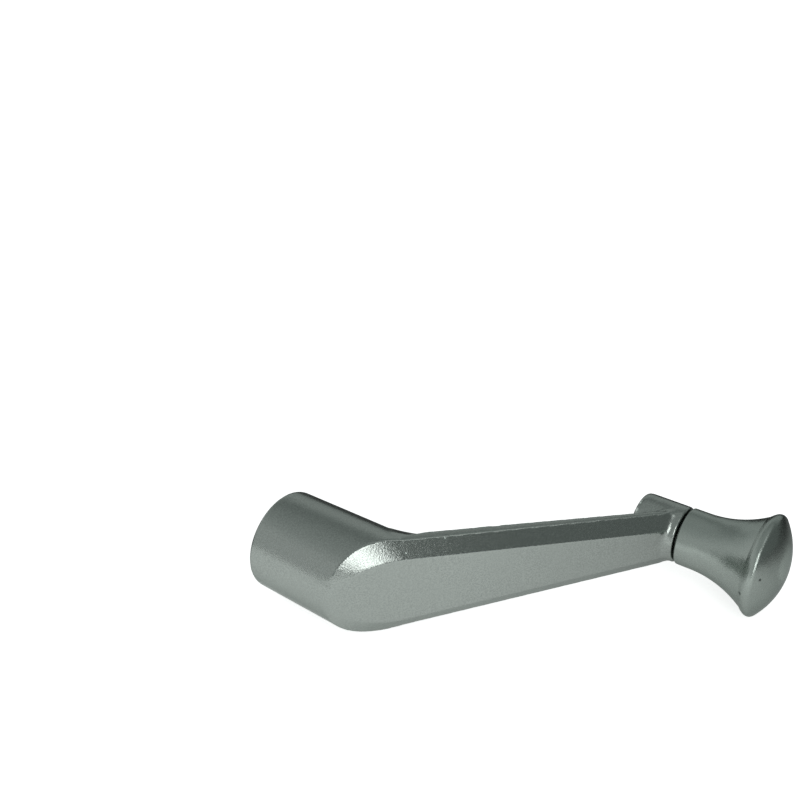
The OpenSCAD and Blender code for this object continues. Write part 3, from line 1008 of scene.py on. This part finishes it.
def light_the_room(studio):
    """A grey room with a pale wall on the left and a greyer one on the right, white to the camera"""
    # Heights and turns are sines: where the ceiling begins and is full, how softly a wall ends at its top,
    # and how far round a wall begins and is full
    ceiling_start, ceiling_full = 0.6, 0.9
    soft = 0.2
    wall_start, wall_full = 0.1, 0.9
    world = bpy.data.worlds.new("pale_room")
    bpy.context.scene.world = world
    world.use_nodes = True
    tree = world.node_tree
    tree.nodes.clear()
    direction = add(tree, "TexCoord").outputs["Generated"]
    height = add(tree, "SeparateXYZ", {"Vector": direction}).outputs["Z"]
    level = add(
        tree, "MapRange",
        {"Value": height, "From Min": ceiling_start, "From Max": ceiling_full,
         "To Min": studio.room, "To Max": studio.overhead}, interpolation_type="SMOOTHSTEP").outputs["Result"]
    walls = (((-0.8, 0.6, 0), studio.left_wall, studio.left_wall_top),
             ((0.8, 0.6, 0), studio.right_wall, studio.right_wall_top))
    for wall, brightness, top in walls:
        below = add(
            tree, "MapRange",
            {"Value": height, "From Min": top - soft, "From Max": top + soft, "To Min": 1.0, "To Max": 0.0},
            interpolation_type="SMOOTHSTEP").outputs["Result"]
        facing = add(tree, "VectorMath", {0: direction, 1: wall}, operation="DOT_PRODUCT").outputs["Value"]
        reach = add(
            tree, "MapRange",
            {"Value": facing, "From Min": wall_start, "From Max": wall_full, "To Min": 0.0,
             "To Max": brightness - studio.room}, interpolation_type="SMOOTHSTEP").outputs["Result"]
        level = add(tree, "Math", {0: reach, 1: below, 2: level}, operation="MULTIPLY_ADD").outputs["Value"]
    seen = white_to_the_eye(tree)[0]
    white = (1, 1, 1, 1)
    tint = add(
        tree, "Mix", {"Factor": level, "A": studio.room_tint, "B": white}, data_type="RGBA").outputs["Result"]
    lit = add(tree, "VectorMath", {"Vector": tint, "Scale": level}, operation="SCALE").outputs["Vector"]
    shown = add(tree, "Mix", {"Factor": seen, "A": lit, "B": white}, data_type="RGBA").outputs["Result"]
    background = add(tree, "Background", {"Color": shown, "Strength": 1.0})
    add(tree, "OutputWorld", {"Surface": background.outputs["Background"]})


def towards(azimuth, elevation):
    """A direction, turned from the knob's end round the upright axis and raised"""
    flat = math.cos(elevation)
    return Vector((math.sin(azimuth) * flat, -math.cos(azimuth) * flat, math.sin(elevation)))


def soft_lamp(name, place, target, width, height, power):
    """An upright soft lamp that looks at a target"""
    lamp = bpy.data.lights.new(name, "AREA")
    lamp.shape = "RECTANGLE"
    lamp.size = width
    lamp.size_y = height
    lamp.energy = power
    holder = bpy.data.objects.new(name, lamp)
    holder.location = place
    holder.rotation_euler = (Vector(target) - Vector(place)).to_track_quat("-Z", "Y").to_euler()
    bpy.context.scene.collection.objects.link(holder)


class HANDLE_OT_stage(bpy.types.Operator):
    """Sets the table, the surroundings, the lamps and the camera"""
    bl_idname = "crank_handle.stage"
    bl_label = "Stage"

    def execute(self, context):
        studio = context.scene.studio
        low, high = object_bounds()
        centre = (Vector(low) + Vector(high)) / 2
        leave_edit_mode()
        bpy.ops.mesh.primitive_plane_add(size=8, location=(0, 0, low[2]))
        table = bpy.context.object
        table.name = "table"
        fix_place(table)
        table.data.materials.append(table_material(studio))
        table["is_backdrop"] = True
        light_the_room(studio)
        key = towards(studio.key_azimuth, studio.key_elevation)
        soft_lamp(
            "key", centre + studio.lamp_distance * key, centre,
            studio.key_width, studio.key_height, studio.key_power)
        top = towards(studio.top_azimuth, studio.top_elevation)
        soft_lamp(
            "top", centre + studio.lamp_distance * top, centre,
            studio.top_size, studio.top_size, studio.top_power)
        context.scene.view_settings.view_transform = "Standard"
        camera = bpy.data.cameras.new("camera")
        camera.lens = studio.focal_length
        camera.sensor_width = 36
        camera.clip_start = 0.005
        holder = bpy.data.objects.new("camera", camera)
        back = towards(studio.camera_azimuth, studio.camera_elevation)
        holder.location = studio.camera_place
        holder.rotation_euler = back.to_track_quat("Z", "Y").to_euler()
        context.scene.collection.objects.link(holder)
        context.scene.camera = holder
        return {"FINISHED"}


OPERATORS = (
    HANDLE_OT_crank_arm,
    HANDLE_OT_knob,
    HANDLE_OT_pin_and_washer,
    HANDLE_OT_set_screw,
    HANDLE_OT_stage,
)


class HANDLE_PT_sidebar(bpy.types.Panel):
    """Lists the handle's pieces and the stage"""
    bl_idname = "HANDLE_PT_sidebar"
    bl_label = "Crank Handle"
    bl_space_type = "VIEW_3D"
    bl_region_type = "UI"
    bl_category = "Crank Handle"

    def draw(self, context):
        for operator in OPERATORS:
            self.layout.operator(operator.bl_idname)


GROUPS = {
    "casting_sizes": CastingSizes,
    "knob_sizes": KnobSizes,
    "small_part_sizes": SmallPartSizes,
    "finishes": Finishes,
    "studio": Studio,
}


def register():
    for kind in list(GROUPS.values()) + list(OPERATORS) + [HANDLE_PT_sidebar]:
        bpy.utils.register_class(kind)
    for name, kind in GROUPS.items():
        setattr(bpy.types.Scene, name, PointerProperty(type=kind))


def unregister():
    for name in GROUPS:
        delattr(bpy.types.Scene, name)
    for kind in [HANDLE_PT_sidebar] + list(OPERATORS) + list(GROUPS.values()):
        bpy.utils.unregister_class(kind)


def main():
    register()
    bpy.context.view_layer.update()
    bpy.ops.crank_handle.crank_arm()
    bpy.ops.crank_handle.knob()
    bpy.ops.crank_handle.pin_and_washer()
    bpy.ops.crank_handle.set_screw()
    bpy.ops.crank_handle.stage()


if __name__ == "__main__":
    main()
